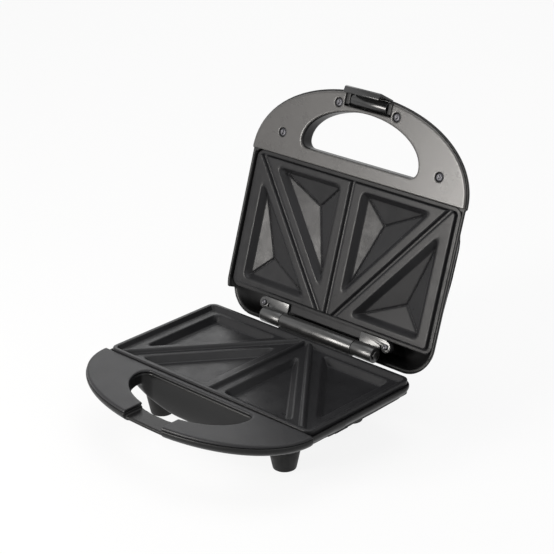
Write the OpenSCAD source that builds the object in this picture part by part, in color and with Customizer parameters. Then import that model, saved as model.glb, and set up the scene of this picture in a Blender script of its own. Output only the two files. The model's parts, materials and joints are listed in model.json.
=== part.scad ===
// Sandwich toaster with a hinged lid, four triangular pockets and a grip at the front.
// Every piece is first placed on the closed toaster: X across, Y from the front edge of
// the cooking plates to the hinge, Z from the parting plane between the two halves.
// The lid is then swung open to the pose that the model is stored in.

/* [Cooking plates] */
// Width of each cooking plate
plate_w = 218; // [212:1:228]
// Depth of each cooking plate, from its front edge to its hinge edge
plate_d = 120; // [116:1:128]
// Corner radius of each cooking plate
plate_corner_r = 7; // [5:0.5:9]
// Metal thickness of the cast plates
plate_t = 3; // [2.6:0.1:3.4]
// Height of the lower plate's rim above its cooking face
rim_h = 3.5; // [3:0.1:4]
// Width of the flat top of the lower plate's rim
rim_w = 3.2; // [2.4:0.2:4]
// Depth of the lower plate's skirt below the parting plane
skirt_h = 12; // [10:0.5:13]
// Distance between the parting plane and the upper plate's face, lid closed
lid_gap = 2.4; // [2:0.1:2.8]
// Width of the lowered shoulder around the upper plate's face
shoulder_w = 3.7; // [3:0.1:5]
// Drop of that shoulder below the face
shoulder_drop = 3; // [2:0.5:4]

/* [Pockets] */
// Land between the side edge of a plate and its outer pockets
side_land = 14.5; // [13.5:0.5:16]
// Land between the front or hinge edge of a plate and its pockets
end_land = 10; // [9:0.5:12]
// Land between the plate's centre line and its inner pockets
centre_land = 12; // [11:0.5:14]
// Land between the diagonal divider and the pockets on each side of it
divider_land = 10; // [9:0.5:12]
// Depth of a pocket at the foot of its steep wall
pocket_wall_h = 5.2; // [4:0.2:6]
// Depth of a pocket at its lowest point
pocket_depth = 9; // [8:0.5:10]
// Width of the divider bars of the lower plate and of the grooves of the upper one
divider_w = 4.4; // [3.6:0.2:5]

/* [Casing] */
// How far the casing stands outside the plates at each side
casing_side = 5.5; // [5:0.1:6.5]
// How far the lid casing stands outside the plates at each side
lid_side = 3.9; // [3.6:0.1:4.6]
// How far the grip stands out in front of the plates
grip_reach = 69; // [66:1:74]
// How far the base casing runs behind the plates
base_rear = 3.5; // [3:0.1:5]
// How far the lid casing runs behind the plates
lid_rear = 21.5; // [20:0.5:24]
// Wall thickness of both casings
casing_t = 2.6; // [2.2:0.1:3]
// Depth of the base casing below the parting plane
base_depth = 34.5; // [33:0.5:38]
// Height of the lid casing above the parting plane
lid_depth = 35; // [34:0.5:38]
// Depth of the base grip below the parting plane
base_grip_depth = 14.5; // [14:0.5:16]
// Height of the lid grip above the parting plane
lid_grip_depth = 15.8; // [15:0.2:17]
// Corner radius of the lid casing beside the hinge
lid_corner_r = 28; // [24:1:32]
// Corner radius of the base casing beside the hinge
base_corner_r = 15; // [12:1:16]

/* [Grip] */
// Half width of the finger hole in the lid
hole_half_w = 61.6; // [56:0.2:64]
// Distance from the plates to the finger hole in the lid
hole_near = 12; // [11:0.5:13]
// Distance from the plates to the outer edge of the finger hole in the lid
hole_far = 51.7; // [49:0.1:53]
// Half width of the finger hole in the base
base_hole_half_w = 60; // [56:0.2:62]
// Distance from the plates to the finger hole in the base
base_hole_near = 5.5; // [5:0.5:8]
// Distance from the plates to the outer edge of the finger hole in the base
base_hole_far = 48.8; // [48:0.1:50]
// Thickness of the two grip covers
cover_t = 2.6; // [2.2:0.2:3]
// Gap between a grip cover and the pieces around it
cover_gap = 0.4; // [0.3:0.1:0.6]
// Half spacing of the two outer grip screws
grip_screw_outer_x = 83.2; // [80:0.2:86]
// Distance of the two outer grip screws in front of the plates
grip_screw_outer_y = 19.2; // [17:0.2:22]
// Half spacing of the two inner grip screws
grip_screw_inner_x = 30.4; // [29:0.2:33]
// Distance of the two inner grip screws in front of the plates
grip_screw_inner_y = 55.8; // [54.6:0.2:57.4]

/* [Hinge] */
// Distance of the hinge axis behind the plates
hinge_back = 13.5; // [13:0.1:14]
// Height of the hinge axis above the parting plane, negative below it
hinge_z = -0.55; // [-0.9:0.05:-0.2]
// Outer radius of the hinge barrels
barrel_r = 6.6; // [6:0.1:7]
// Radius of the hinge pin
hinge_pin_r = 2.5; // [2:0.1:3]
// Radial clearance between the hinge pin and its bores
hinge_play = 0.05; // [0.03:0.01:0.08]
// Half length of the middle barrel, which belongs to the base
middle_barrel_half = 39; // [36:0.5:42]
// Length of each outer barrel, which belongs to the lid
outer_barrel_len = 21.5; // [18:0.5:23]
// Gap between neighbouring barrels along the pin
barrel_gap = 0.5; // [0.3:0.1:0.8]
// Angle between the closed lid and the open lid
lid_open = 107.5; // [104:0.5:110]

/* [Latch] */
// Half width of the latch
latch_half_w = 18.5; // [16:0.5:20]
// Distance of the latch pin in front of the plates
latch_pin_y = 60.5; // [60:0.1:61]
// Height of the latch pin above the parting plane
latch_pin_z = 6; // [5.8:0.1:6.4]
// Radius of the latch pin
latch_pin_r = 1.5; // [1.3:0.1:1.7]
// Angle that the latch turns from the stored pose to its locked pose
latch_lock = 13; // [12:0.5:14]
// Wall of the latch
latch_t = 2.4; // [2:0.1:2.6]

/* [Feet] */
// Height of the feet under the base casing
foot_h = 17.5; // [14:0.5:20]
// Radius of a foot at its top
foot_top_r = 12.5; // [11:0.5:13]
// Radius of a foot where it rests
foot_base_r = 8.4; // [7:0.2:9]
// Half spacing of the front feet across the toaster
front_foot_x = 68; // [64:1:70]
// Half spacing of the rear feet across the toaster
rear_foot_x = 55; // [52:1:58]
// Distance of the front feet behind the front edge of the plates
front_foot_y = 18; // [16:1:24]
// Distance of the rear feet in front of the hinge edge of the plates
rear_foot_inset = 8; // [7:0.5:10]

/* [Heaters and fasteners] */
// Radius of the heating element's tube
element_r = 3.3; // [3:0.1:3.5]
// Half width of the heating loop, at the tube's centre line
loop_half_w = 66; // [62:1:68]
// Bend radius of the heating loop
loop_bend_r = 20; // [16:1:22]
// Thickness of the heat reflectors
reflector_t = 0.8; // [0.6:0.1:1]
// Radius of the large screws
screw_r = 1.9; // [1.7:0.1:2]
// Radius of the small screws
small_screw_r = 1.4; // [1.2:0.1:1.5]
// Radial clearance around every screw shank
screw_play = 0.15; // [0.1:0.05:0.25]
// Gap between pieces that are only set against each other
seat_gap = 0.1; // [0.05:0.05:0.2]
// Radius of the indicator lenses
lens_r = 4; // [3.5:0.5:5]
// Bore radius of the cord inlet
cord_bore_r = 3.5; // [3.2:0.1:3.8]

/* [Hidden] */

// Colours
black_plastic = [0.13, 0.13, 0.14];
grip_grey = [0.36, 0.36, 0.37];
cast_black = [0.2, 0.2, 0.21];
steel = [0.72, 0.72, 0.74];
bright_sheet = [0.82, 0.82, 0.84];

// Smoothness of round pieces
$fn = 48;
outline_steps = 30;
corner_steps = 6;
profile_steps = 7;
through = 60;

// Overall places, from the driving sizes
base_half_w = plate_w / 2 + casing_side;
lid_half_w = plate_w / 2 + lid_side;
base_rear_y = plate_d + base_rear;
lid_rear_y = plate_d + lid_rear;
hinge_y = plate_d + hinge_back;
part_z = base_depth + foot_h;
base_rim_drop = 4;
lid_rim_rise = lid_gap + 0.6;
body_front_y = -10;
body_inset = 60;
rear_flat = 32;
stop_reach = 6;

// Shape of the deep part of each casing: rear corner radius, front corner radius and its
// change for each millimetre of inset, the front wall's slope, the change of the rear
// corner radius, and the half width
base_corners = [base_corner_r, 45, -0.3, 0.12, 0.5, base_half_w];
lid_corners = [lid_corner_r, 45, -0.4, 0.45, -0.5, lid_half_w];

// Profiles of the casings as [inset from the outline, distance from the parting plane]
base_grip_profile = concat([[0, base_rim_drop]],
    bezier([0, 6.5], [0, 9.7], [3.5, base_grip_depth], [13, base_grip_depth]));
base_body_profile = concat([[0, base_rim_drop]],
    bezier([0, 6.5], [0, 12.5], [22, base_depth - 4.5], [body_inset, base_depth]));
lid_grip_profile = bezier([0, lid_rim_rise], [0, lid_rim_rise + 4.2],
    [10, lid_grip_depth], [22, lid_grip_depth]);
lid_body_profile = bezier([0, lid_rim_rise], [0, lid_rim_rise + 6.2],
    [20, lid_depth - 5], [body_inset + 4, lid_depth]);

// The open lid's rearmost point gives the middle of the whole toaster
function opened_y(y, z) = hinge_y + (y - hinge_y) * cos(lid_open)
    + (z - hinge_z) * sin(lid_open);
lid_back_y = max(concat(
    [for (p = lid_grip_profile) opened_y(p[0] - grip_reach, p[1])],
    [for (p = lid_body_profile) opened_y(body_front_y + p[0] * lid_corners[3],
        p[1])]));
mid_y = (lid_back_y - grip_reach) / 2;

// Cooking faces, as distances from the parting plane
base_face = rim_h;
lid_face = lid_gap;
base_back = base_face + plate_t;
lid_back = lid_face + shoulder_drop + 2;

// Grip covers and the screws that hold them
base_cover_face = 1.5;
lid_cover_face = 1.2;
base_cover_lap = casing_t + cover_gap;
lid_cover_lap = casing_t + cover_gap + 2.2;
grip_screws = [
    for (s = [-1, 1]) [s * grip_screw_outer_x, -grip_screw_outer_y],
    for (s = [-1, 1]) [s * grip_screw_inner_x, -grip_screw_inner_y]
];

// Posts behind the plates and the screws that hold them
post_r = 4.2;
side_post_r = 3.5;
centre_post = 20.5;
side_post = 8;
post_x = plate_w / 2 - side_land / 2 - 0.5;
centre_posts = [[0, 17], [0, plate_d - 17]];
side_posts = [[-post_x, plate_d / 2], [post_x, plate_d / 2]];

// Heating loop
pocket_floor = pocket_depth + plate_t * 0.8;
element_back = pocket_floor + element_r + 0.2;
loop_front_y = 31;
loop_rear_y = plate_d - 28;
loop_end_x = 16;
loop_end_bend = 4.5;
clamp_points = [for (s = [-1, 1]) [s * (loop_half_w - 14), plate_d / 2 + 2]];
clamp_w = 10;
clamp_t = 1.2;
clamp_back = element_back + element_r + seat_gap;
reflector_back = clamp_back + clamp_t + 0.3;
reflector_rim = 1.3;

// Feet
feet = [
    [-front_foot_x, front_foot_y], [front_foot_x, front_foot_y],
    [-rear_foot_x, plate_d - rear_foot_inset], [rear_foot_x, plate_d - rear_foot_inset]
];
foot_boss_r = foot_top_r + 0.6;
foot_boss_top = 20;
foot_stem_r = 4;
foot_stem_h = 8;

// Hinge
outer_barrel_from = middle_barrel_half + barrel_gap;
outer_barrel_to = outer_barrel_from + outer_barrel_len;
ear_r = 4.8;
ear_x = outer_barrel_to + ear_r + 0.9;
ear_y = plate_d + 5;
tab_face = lid_face + 0.7;
tab_t = 2;
flange_face = lid_face + shoulder_drop;
flange_t = 3.2;
bracket_t = 3.6;
bracket_drop = 20.5;
bracket_screw_x = middle_barrel_half - 5;
bracket_screw_drop = 16.5;
stop_gap = 0.3;
lid_rear_rim = lid_gap + 6.4;

// Latch and its keep
keep_top = 6.5;
keep_under = 9;
keep_nose_y = latch_pin_y + 4.6;
keep_root_y = latch_pin_y + 0.4;
notch_half = latch_half_w + 1.5;
latch_ear_from = latch_half_w + 0.8;
latch_ear_to = latch_ear_from + 4.8;
latch_barrel_r = 5.2;
latch_reach = 7.7;
latch_drop = 18.1;
latch_lip = 5.9;

// Finger holes: half width, near and far edge
base_hole = [base_hole_half_w, base_hole_near, base_hole_far];
lid_hole = [hole_half_w, hole_near, hole_far];

// Cord inlet and the pieces inside the base. The inlet lies low enough for a cord to leave
// straight back, under the open lid.
gland_x = 48 - plate_w / 2;
gland_drop = 20.5;
gland_neck_r = cord_bore_r + 1.5;
clamp_bar_y = plate_d - 7;
clamp_bar_drop = gland_drop - 3.6;
block_at = [-28, plate_d - 19];
block_half_d = 4.5;
block_seat = base_depth - casing_t - 2.8;
block_drop = block_seat - 5.5;

// Indicator lamps in the lid
lens_x = 14;
lamp_y = 45;
holder_back = lid_depth - 9;
holder_screw_x = 24.5;

// ---------------------------------------------------------------- curves and lofts

function bezier(a, b, c, d, steps = profile_steps) = [
    for (i = [0 : steps])
        let (t = i / steps, u = 1 - t)
        u * u * u * a + 3 * u * u * t * b + 3 * u * t * t * c + t * t * t * d
];

function arc_points(centre, r, from, to, steps = corner_steps) = [
    for (i = [0 : steps])
        let (a = from + (to - from) * i / steps)
        [centre[0] + r * cos(a), centre[1] + r * sin(a)]
];

// Outline of a grip: a half ellipse that runs back a little way beside the plates
function grip_outline(half_w, inset, end_y) = concat(
    [for (i = [0 : outline_steps])
        let (a = 180 + 180 * i / outline_steps)
        [(half_w - inset) * cos(a), min((grip_reach - inset) * sin(a), end_y)]],
    end_y > 0 ? [[half_w - inset, end_y], [inset - half_w, end_y]] : []);

// Outline of the deep part of a casing, behind the finger hole
function body_outline(inset, wall, rear_y, corners) =
    let (w = corners[5] - inset - wall,
         y = rear_y - wall - max(inset - rear_flat, 0),
         front = body_front_y + inset * corners[3] + wall,
         f = min(max(corners[1] + inset * corners[2] - wall, 10), w - 0.5),
         r = min(max(corners[0] + inset * corners[4] - wall, 3), w - 0.5))
    concat(
        arc_points([f - w, front + f], f, 180, 270, outline_steps / 3),
        arc_points([w - f, front + f], f, 270, 360, outline_steps / 3),
        arc_points([w - r, y - r], r, 0, 90),
        arc_points([r - w, y - r], r, 90, 180));

// D-shaped finger hole, grown outwards by a distance
function hole_outline(size, grow) =
    let (w = size[0] + grow, near = grow - size[1], r = 7 + grow,
         axis_y = -size[1] - 7, reach = size[2] - size[1] - 7 + grow)
    concat(
        [for (i = [0 : outline_steps])
            let (a = 180 + 180 * i / outline_steps) [w * cos(a), axis_y + reach * sin(a)]],
        arc_points([w - r, near - r], r, 0, 90),
        arc_points([r - w, near - r], r, 90, 180));

function round_rect(x0, y0, x1, y1, r) = concat(
    arc_points([x1 - r, y1 - r], r, 0, 90), arc_points([x0 + r, y1 - r], r, 90, 180),
    arc_points([x0 + r, y0 + r], r, 180, 270), arc_points([x1 - r, y0 + r], r, 270, 360));

// Outline of a plate, inset from its edge
function plate_outline(inset) = round_rect(-plate_w / 2 + inset, inset,
    plate_w / 2 - inset, plate_d - inset, max(plate_corner_r - inset, 1));

// Rounded slot outline between two points
function stadium(p, q, r) =
    let (a = atan2(q[1] - p[1], q[0] - p[0]))
    concat(arc_points(q, r, a - 90, a + 90), arc_points(p, r, a + 90, a + 270));

function raise(outline, z) = [for (p = outline) [p[0], p[1], z]];

// Solid through a stack of outlines, each with the same number of points
module loft(rings) {
    n = len(rings[0]);
    m = len(rings);
    walls = [
        for (j = [0 : m - 2], i = [0 : n - 1])
            let (k = (i + 1) % n)
            each [[j * n + i, (j + 1) * n + i, (j + 1) * n + k],
                  [j * n + i, (j + 1) * n + k, j * n + k]]
    ];
    caps = [[for (i = [0 : n - 1]) i], [for (i = [n - 1 : -1 : 0]) (m - 1) * n + i]];
    polyhedron([for (r = rings) each r], concat(walls, caps));
}

// Prism of an outline between two depths
module prism(outline, from, to)
    translate([0, 0, from]) linear_extrude(to - from) polygon(outline);

module tube(p, r, from, to) translate([p[0], p[1], from]) cylinder(h = to - from, r = r);

// Rod along X between two places
module rod_x(from, to, y, z, r)
    translate([from, y, z]) rotate([0, 90, 0]) cylinder(h = to - from, r = r);

// Rod along Y between two places
module rod_y(from, to, x, z, r)
    translate([x, from, z]) rotate([-90, 0, 0]) cylinder(h = to - from, r = r);

// Prism along X of a section given as [y, z] points
module bar_x(from, to, section)
    translate([from, 0, 0]) rotate([90, 0, 90]) linear_extrude(to - from) polygon(section);

module box(low, high) translate(low) cube(high - low);
module both_sides() for (s = [0, 1]) mirror([s, 0, 0]) children();

// ---------------------------------------------------------------- placing

module on_base() translate([0, -mid_y, part_z]) children();
// Pieces of the base are drawn by depth below the parting plane
module down() on_base() mirror([0, 0, 1]) children();
module on_lid()
    on_base() translate([0, hinge_y, hinge_z]) rotate([-lid_open, 0, 0])
        translate([0, -hinge_y, -hinge_z]) children();
module on_latch()
    on_lid() translate([0, -latch_pin_y, latch_pin_z]) rotate([-latch_lock, 0, 0]) children();

// ---------------------------------------------------------------- pockets and dividers

divider_front = [plate_w / 2 - 8.5, 2.5];
divider_rear = [7, plate_d - 2.5];
divider_len = norm(divider_rear - divider_front);
divider_normal = [divider_rear[1] - divider_front[1], divider_front[0] - divider_rear[0]]
    / divider_len;
divider_offset = divider_normal * divider_front;

function on_line_x(offset, y) = (offset - divider_normal[1] * y) / divider_normal[0];
function on_line_y(offset, x) = (offset - divider_normal[0] * x) / divider_normal[1];

outer_x = plate_w / 2 - side_land;
outer_line = divider_offset + divider_land;
inner_line = divider_offset - divider_land;
rear_land_y = plate_d - end_land;
outer_pocket = [
    [outer_x, on_line_y(outer_line, outer_x)], [outer_x, rear_land_y],
    [on_line_x(outer_line, rear_land_y), rear_land_y]
];
inner_pocket = [
    [centre_land, end_land], [on_line_x(inner_line, end_land), end_land],
    [centre_land, on_line_y(inner_line, centre_land)]
];

function unit(v) = v / norm(v);
function cross_size(u, v) = abs(u[0] * v[1] - u[1] * v[0]);
function corner_in(tri, i, inset) =
    let (p = tri[i], u = unit(tri[(i + 1) % 3] - p), v = unit(tri[(i + 2) % 3] - p))
    p + (u + v) * inset / cross_size(u, v);

// Triangle pulled in by a distance, with rounded corners
function round_tri(tri, inset, r) = [
    for (i = [0 : 2])
        let (c = corner_in(tri, i, inset + r), u = unit(tri[(i + 1) % 3] - tri[i]),
             v = unit(tri[i] - tri[(i + 2) % 3]), from = atan2(-v[0], v[1]),
             turn = (atan2(-u[0], u[1]) - from + 720) % 360)
        each [for (k = [0 : 4])
            let (a = from + turn * k / 4) [c[0] + r * cos(a), c[1] + r * sin(a)]]
];

function side_sum(tri) = norm(tri[0] - tri[1]) + norm(tri[1] - tri[2]) + norm(tri[2] - tri[0]);
function in_radius(tri) = cross_size(tri[1] - tri[0], tri[2] - tri[0]) / side_sum(tri);

// Hollow of a pocket below a face: rounded brim, steep wall, three facets to one point
module pocket_hollow(tri, face) {
    tip = in_radius(tri) - 1.2;
    steps = [[-1.4, -0.02], [-0.4, 0.3], [0.3, 1.2], [3.4, pocket_wall_h], [tip, pocket_depth]];
    loft([for (s = steps) raise(round_tri(tri, s[0], max(5.2 - s[0], 0.8)), face + s[1])]);
}

// The same shape one metal thickness further out
module pocket_bulge(tri, face, back) {
    tip = in_radius(tri) - 5;
    steps = [[-2.6, back - face - 0.5], [0.8, pocket_wall_h + plate_t * 0.8],
        [tip, pocket_floor]];
    loft([for (s = steps) raise(round_tri(tri, s[0], 3), face + s[1])]);
}

// Everything behind a cooking face: slab, pocket bulges and posts
module plate_back(face, back) {
    both_sides() {
        pocket_bulge(outer_pocket, face, back);
        pocket_bulge(inner_pocket, face, back);
    }
    for (p = centre_posts) tube(p, post_r, back - 0.5, face + centre_post);
    for (p = side_posts) tube(p, side_post_r, back - 0.5, face + side_post);
    for (p = clamp_points) tube(p, post_r - 0.8, back - 0.5, face + clamp_back - seat_gap);
}

module plate_hollows(face) {
    both_sides() {
        pocket_hollow(outer_pocket, face);
        pocket_hollow(inner_pocket, face);
    }
    for (p = centre_posts)
        tube(p, screw_r + 0.03, face + centre_post - 12, face + centre_post + 1);
    for (p = side_posts) tube(p, screw_r + 0.03, face + side_post - 5.3, face + side_post + 1);
    for (p = clamp_points)
        tube(p, small_screw_r + 0.03, face + clamp_back - 9, face + clamp_back + 1);
}

// ---------------------------------------------------------------- shared pieces

// Screw along the depth direction, from its tip to the seat of its head
module screw(p, r, tip, seat, head_h) {
    turn = seat > tip ? 1 : -1;
    difference() {
        union() {
            tube(p, r, min(tip, seat), max(tip, seat));
            translate([p[0], p[1], seat]) mirror([0, 0, turn > 0 ? 0 : 1])
                rotate_extrude() polygon([[0, -0.2], [r - 0.1, -0.2], [r - 0.1, 0.03],
                    [r * 1.85, 0.03],
                    [r * 1.85, head_h * 0.5], [r * 1.5, head_h * 0.85], [r * 1.1, head_h],
                    [0, head_h]]);
        }
        for (a = [0, 90]) translate([p[0], p[1], seat + turn * head_h])
            rotate([0, 0, a]) cube([r * 1.9, r * 0.4, head_h * 0.9], center = true);
    }
}

// Heating tube: one loop open at the hinge side, its two ends turned away from the plate
module heating_loop(face) {
    depth = face + element_back;
    both_sides() {
        translate([loop_half_w, loop_front_y + loop_bend_r, depth]) rotate([-90, 0, 0])
            cylinder(h = loop_rear_y - loop_front_y - 2 * loop_bend_r, r = element_r);
        rod_x(loop_end_x, loop_half_w - loop_bend_r, loop_rear_y, depth, element_r);
        rod_x(-0.1, loop_half_w - loop_bend_r, loop_front_y, depth, element_r);
        translate([loop_half_w - loop_bend_r, loop_rear_y - loop_bend_r, depth])
            rotate_extrude(angle = 90) translate([loop_bend_r, 0]) circle(r = element_r);
        translate([loop_half_w - loop_bend_r, loop_front_y + loop_bend_r, depth])
            rotate([0, 0, -90])
            rotate_extrude(angle = 90) translate([loop_bend_r, 0]) circle(r = element_r);
        translate([loop_end_x, loop_rear_y, depth + loop_end_bend]) rotate([90, 0, 0])
            rotate([0, 0, 180])
            rotate_extrude(angle = 90) translate([loop_end_bend, 0]) circle(r = element_r);
        tube([loop_end_x - loop_end_bend, loop_rear_y], element_r,
            depth + loop_end_bend, depth + loop_end_bend + 1.5);
        tube([loop_end_x - loop_end_bend, loop_rear_y], 1,
            depth + loop_end_bend + 1.5, depth + loop_end_bend + 5);
    }
}

// Straps that hold the tube to the plate, each screwed to a post beside the tube
module element_clamps(face)
    both_sides() difference() {
        box([clamp_points[1][0] - clamp_w / 2, clamp_points[1][1] - clamp_w / 2,
                face + clamp_back],
            [loop_half_w + element_r + 1.4, clamp_points[1][1] + clamp_w / 2,
                face + clamp_back + clamp_t]);
        tube(clamp_points[1], small_screw_r + screw_play, face, through);
    }

module clamp_screws(face)
    for (p = clamp_points) screw(p, small_screw_r, face + clamp_back - 8,
        face + clamp_back + clamp_t, 1.7);

// Reflector tray behind a heating loop
module reflector(face) {
    low = face + reflector_back;
    difference() {
        prism(reflector_outline(0), low, low + reflector_rim);
        prism(reflector_outline(reflector_t), low + reflector_t, low + 4);
        for (p = clamp_points) tube(p, small_screw_r * 2 + 0.8, 0, through);
        for (s = [-1, 1]) tube([s * (loop_end_x - loop_end_bend), loop_rear_y],
            element_r + 1, 0, through);
    }
}

function reflector_outline(inset) = round_rect(inset - 72, 28 + inset, 72 - inset,
    plate_d - 24 - inset, 24 - inset);

module plate_screws(face) {
    for (p = centre_posts) screw(p, screw_r, face + centre_post - 11,
        face + centre_post + 3, 1.8);
    for (p = side_posts) screw(p, screw_r, face + side_post - 5,
        face + side_post + 2.4, 1.6);
}

// Flat cover over a grip, with a softened edge and the finger hole
module grip_cover(half_w, hole, face, rim, inset, lap)
    difference() {
        union() {
            loft([
                raise(grip_outline(half_w, inset + 1.1, -cover_gap), face),
                raise(grip_outline(half_w, inset + 0.35, -cover_gap), face + 0.35),
                raise(grip_outline(half_w, inset, -cover_gap), face + 1),
                raise(grip_outline(half_w, inset, -cover_gap), rim - seat_gap)
            ]);
            prism(grip_outline(half_w, lap, -cover_gap), rim - seat_gap - 0.2, rim + 1);
        }
        prism(hole_outline(hole, 0), -through, through);
    }

module casing(grip_profile, body_profile, wall, rear_y, corners) {
    end_y = body_front_y + corners[1] + 3;
    loft([for (p = grip_profile) raise(grip_outline(corners[5], p[0] + wall, end_y),
        p[1] - wall)]);
    loft([for (p = body_profile) raise(body_outline(p[0], wall, rear_y, corners),
        p[1] - wall)]);
}

// Bosses of a casing that meet the posts of a plate, and the holes through them
module post_bosses(face) {
    for (p = centre_posts) tube(p, post_r + 2.2, face + centre_post + seat_gap, through);
    for (p = side_posts) tube(p, side_post_r + 1.9, face + side_post + seat_gap, through);
}

module post_boss_holes(face) {
    for (p = centre_posts) {
        tube(p, screw_r + screw_play, 0, through);
        tube(p, screw_r * 1.85 + 0.5, face + centre_post + 3, through);
    }
    for (p = side_posts) {
        tube(p, side_post_r + 0.3, 0, face + side_post + seat_gap);
        tube(p, screw_r + screw_play, 0, through);
        tube(p, screw_r * 1.85 + 0.3, face + side_post + 2.4, through);
    }
}

// ---------------------------------------------------------------- base

module base_solid(wall)
    casing(base_grip_profile, base_body_profile, wall, base_rear_y, base_corners);

module base_shell()
    color(black_plastic) down() difference() {
        union() {
            difference() {
                union() {
                    base_solid(0);
                    foot_bosses();
                }
                base_solid(casing_t);
            }
            intersection() {
                base_solid(0);
                base_inner_solids();
            }
            for (p = feet) tube(p, foot_stem_r + 3, base_depth - foot_stem_h - 2.9, base_depth);
        }
        prism(hole_outline(base_hole, 0), -through, through);
        prism(plate_outline(-cover_gap), -1, skirt_h + 0.4);
        latch_notch();
        post_boss_holes(base_face);
        for (p = grip_screws) {
            tube(p, screw_r + screw_play, 0, through);
            tube(p, screw_r * 1.85 + 0.4, base_grip_depth - 3.5, through);
        }
        for (p = feet) tube(p, foot_stem_r + 0.05, base_depth - foot_stem_h, through);
        rod_y(plate_d - 1, through * 3, gland_x, gland_drop, gland_neck_r + 0.05);
        rod_y(plate_d - 6, base_rear_y - casing_t + 0.2, gland_x, gland_drop,
            gland_neck_r + 0.6);
        for (s = [-1, 1]) {
            rod_y(base_rear_y - 9, through * 3, s * bracket_screw_x, bracket_screw_drop,
                screw_r + 0.03);
            tube([gland_x + s * 9, clamp_bar_y], small_screw_r + 0.03, 0,
                clamp_bar_drop + 7.6);
        }
        tube(block_at, small_screw_r + 0.03, 0, base_depth - 2.1);
    }

// Round seats for the feet, cut off just inside the rear wall
module foot_bosses()
    difference() {
        for (p = feet) tube(p, foot_boss_r, foot_boss_top, base_depth);
        box([-base_half_w, base_rear_y - 0.6, 0], [base_half_w, through * 3, through]);
    }

module base_inner_solids() {
    prism(hole_outline(base_hole, casing_t), base_rim_drop + 1 + seat_gap, through);
    post_bosses(base_face);
    for (p = grip_screws) tube(p, screw_r * 1.85 + 2, 8.6, through);
    for (s = [-1, 1]) {
        rod_y(base_rear_y - 10, base_rear_y, s * bracket_screw_x, bracket_screw_drop, 3.4);
        tube([gland_x + s * 9, clamp_bar_y], 3, clamp_bar_drop + seat_gap, through);
    }
    tube(block_at, 3, block_seat, through);
    box([-notch_half - casing_t, -80, keep_top], [notch_half + casing_t, -base_hole_far + 4,
        keep_under]);
    box([-notch_half - casing_t, -keep_root_y, keep_top], [notch_half + casing_t,
        casing_t - keep_root_y, through]);
    both_sides() {
        box([notch_half, -80, base_rim_drop + 1.3],
            [notch_half + casing_t, -base_hole_far + 6, keep_under]);
        box([notch_half, -80, base_rim_drop + 1.3],
            [notch_half + casing_t, casing_t - keep_root_y, through]);
    }
}

// Gap in the front of the base grip that the latch drops into
module latch_notch() {
    box([-notch_half, -90, -1], [notch_half, -keep_nose_y, through]);
    box([-notch_half, -90, keep_under], [notch_half, -keep_root_y, through]);
    box([-notch_half, -90, -1], [notch_half, -38, keep_top]);
}

module base_handle_cover()
    color(grip_grey) down() difference() {
        union() {
            grip_cover(base_half_w, base_hole, base_cover_face, base_rim_drop, 0.6,
                base_cover_lap);
            for (p = grip_screws) tube(p, screw_r + 1.9, base_rim_drop, 8.5);
        }
        box([-notch_half, -90, -1], [notch_half, -38, through]);
        for (p = grip_screws) tube(p, screw_r + 0.03, base_cover_face + 1.4, through);
    }

module base_plate()
    color(cast_black) down() {
        difference() {
            union() {
                difference() {
                    prism(plate_outline(0), 0, skirt_h);
                    prism(plate_outline(plate_t), base_back, through);
                }
                plate_back(base_face, base_back);
            }
            loft([raise(plate_outline(rim_w - 0.4), -0.5),
                raise(plate_outline(rim_w), 0), raise(plate_outline(6), base_face)]);
            plate_hollows(base_face);
        }
        divider_bar([0, 4.5], [0, plate_d - 4.5]);
        both_sides() divider_bar(divider_front + [-3, 3], divider_rear + [0, -2]);
    }

// Bar on the lower plate that presses a seam across the bread
module divider_bar(p, q)
    loft([raise(stadium(p, q, divider_w / 2 - 1.5), 0.6),
        raise(stadium(p, q, divider_w / 2 - 0.7), 1.1),
        raise(stadium(p, q, divider_w / 2 + 0.3), base_face + 0.5)]);

module base_element() color(steel) down() heating_loop(base_face);
module base_reflector() color(bright_sheet) down() reflector(base_face);
module base_element_clamps() color(steel) down() element_clamps(base_face);
module base_clamp_screws() color(steel) down() clamp_screws(base_face);
module base_plate_screws() color(steel) down() plate_screws(base_face);

module base_handle_screws()
    color(steel) down() for (p = grip_screws)
        screw(p, screw_r, base_cover_face + 1.8, base_grip_depth - 3.5, 1.8);

module foot(i)
    color(black_plastic) down() {
        tube(feet[i], foot_stem_r, base_depth - foot_stem_h + 0.2, base_depth + 1);
        translate([feet[i][0], feet[i][1], base_depth + seat_gap])
            rotate_extrude() polygon([[0, 0], [foot_top_r, 0], [foot_top_r, 1.2],
                [foot_base_r + 1.1, foot_h - seat_gap - 1.4],
                [foot_base_r + 0.8, foot_h - seat_gap - 0.5],
                [foot_base_r, foot_h - seat_gap], [0, foot_h - seat_gap]]);
    }

module foot_front_left() foot(0);
module foot_front_right() foot(1);
module foot_rear_left() foot(2);
module foot_rear_right() foot(3);

// ---------------------------------------------------------------- hinge

// Height of the stop face under the open lid's rear wall, at a place behind the plates
function stop_z(y) = hinge_z
    - (lid_rear_y - hinge_y + stop_gap - cos(lid_open) * (y - hinge_y)) / sin(lid_open);

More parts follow.
